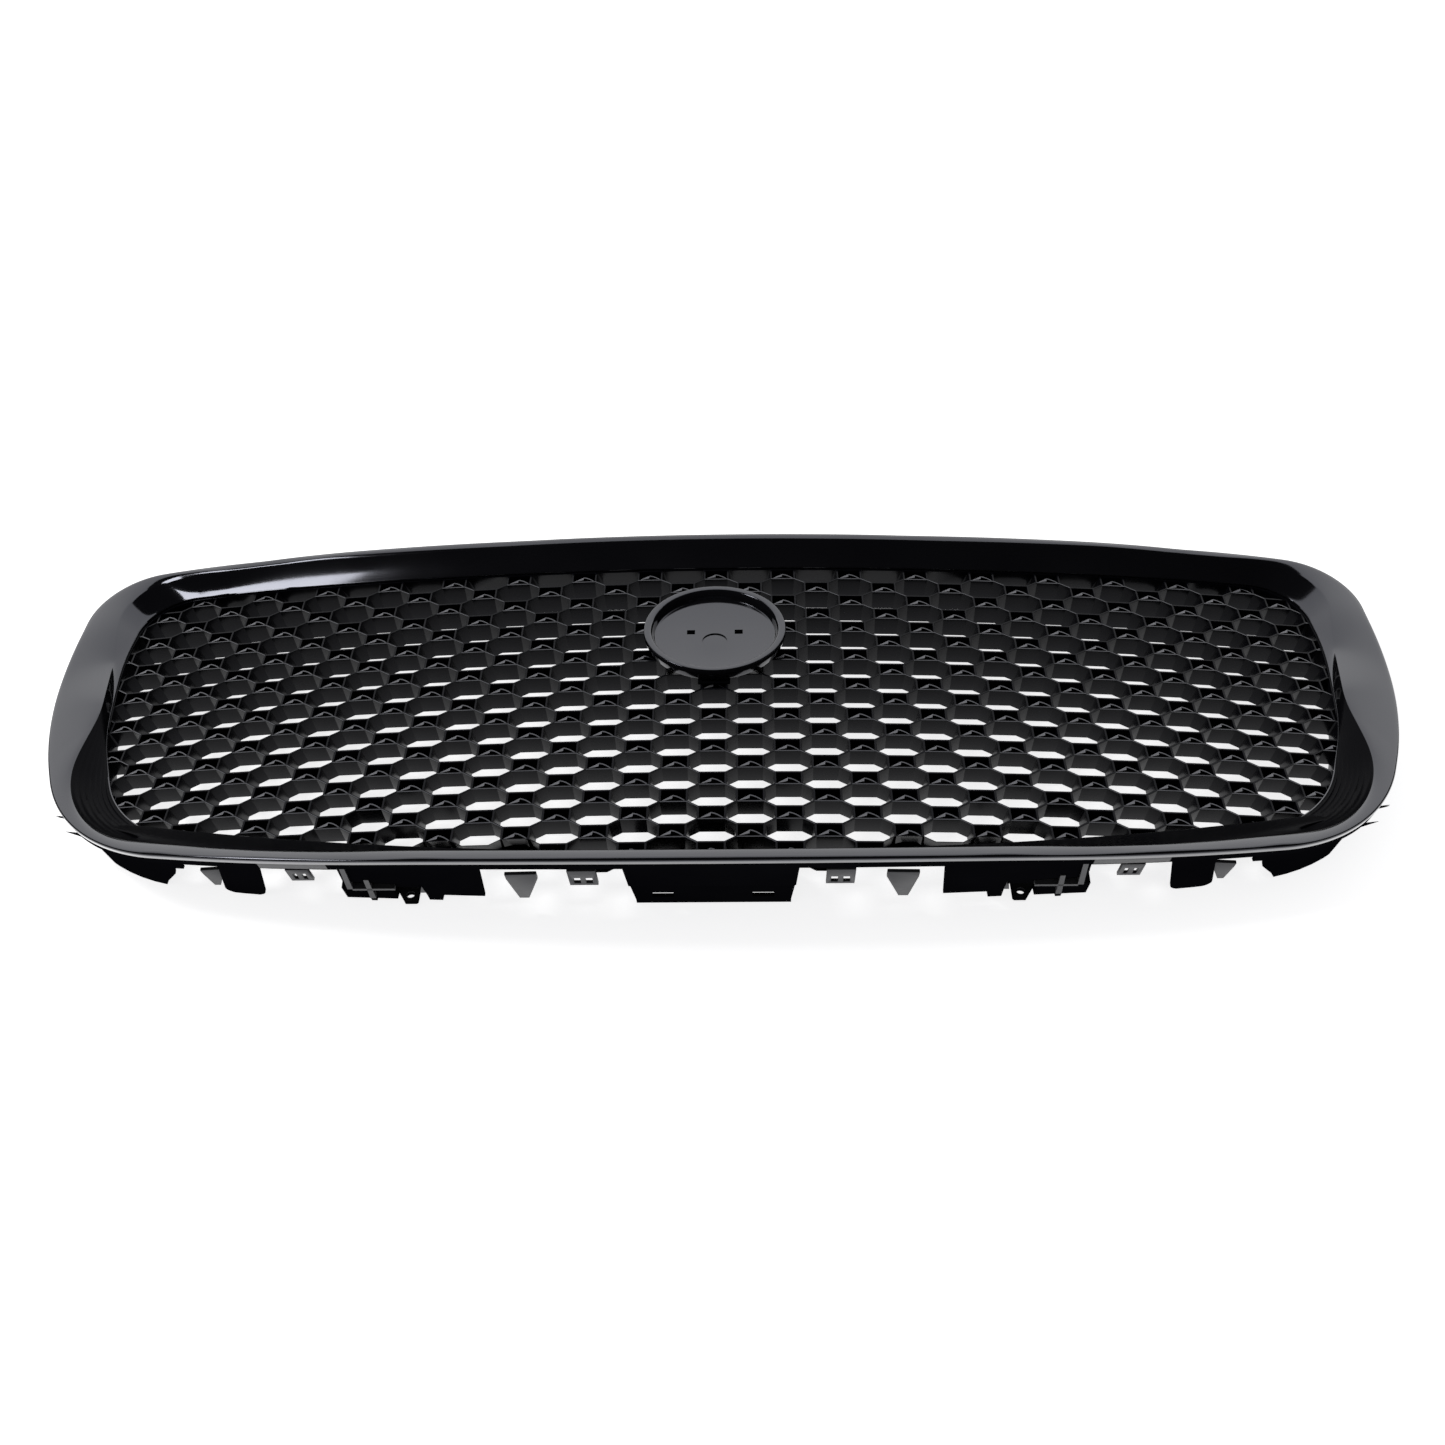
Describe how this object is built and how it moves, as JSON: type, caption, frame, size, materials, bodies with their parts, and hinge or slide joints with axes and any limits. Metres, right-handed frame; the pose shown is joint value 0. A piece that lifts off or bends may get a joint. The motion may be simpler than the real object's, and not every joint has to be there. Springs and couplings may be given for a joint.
{
  "type": "front grille",
  "caption": "Black front grille: lofted oval surround around a bowed mesh of octagonal openings, round badge seat, and a rear flange with fins, latch tabs and screw ears.",
  "frame": {"origin": "middle of the underside of the bounding box; the grille lies on its back on its rear feet", "axes": "+X across the car, +Y toward the top edge of the grille, +Z out of the face"},
  "size_m": [0.9164, 0.3699, 0.0805],
  "materials": {
    "gloss_black": "gloss, slightly worn by mould texture",
    "satin_black": "satin moulded",
    "grey_black": "matte moulded",
    "zinc_steel": "zinc plated",
    "spring_steel": "plain spring steel",
    "foam": "closed-cell foam"
  },
  "bodies": {
    "root": {"surround_frame": "gloss_black", "mesh_panel": "satin_black", "badge_cup": "gloss_black", "badge_boss": "satin_black", "badge_support_frame": "satin_black", "badge_screws": "zinc_steel", "lower_carrier": "satin_black", "corner_apron_left": "satin_black", "corner_apron_right": "satin_black", "upper_carrier": "satin_black", "side_carrier_left": "satin_black", "side_carrier_right": "satin_black", "guide_fins": "grey_black", "latch_tabs": "grey_black", "centre_box": "satin_black", "side_box_left": "satin_black", "side_box_right": "satin_black", "mesh_screws_top": "zinc_steel", "mesh_screws_sides": "zinc_steel", "upper_spring_clips": "spring_steel", "locating_pins": "satin_black", "foam_seal": "foam"}
  },
  "joints": []
}
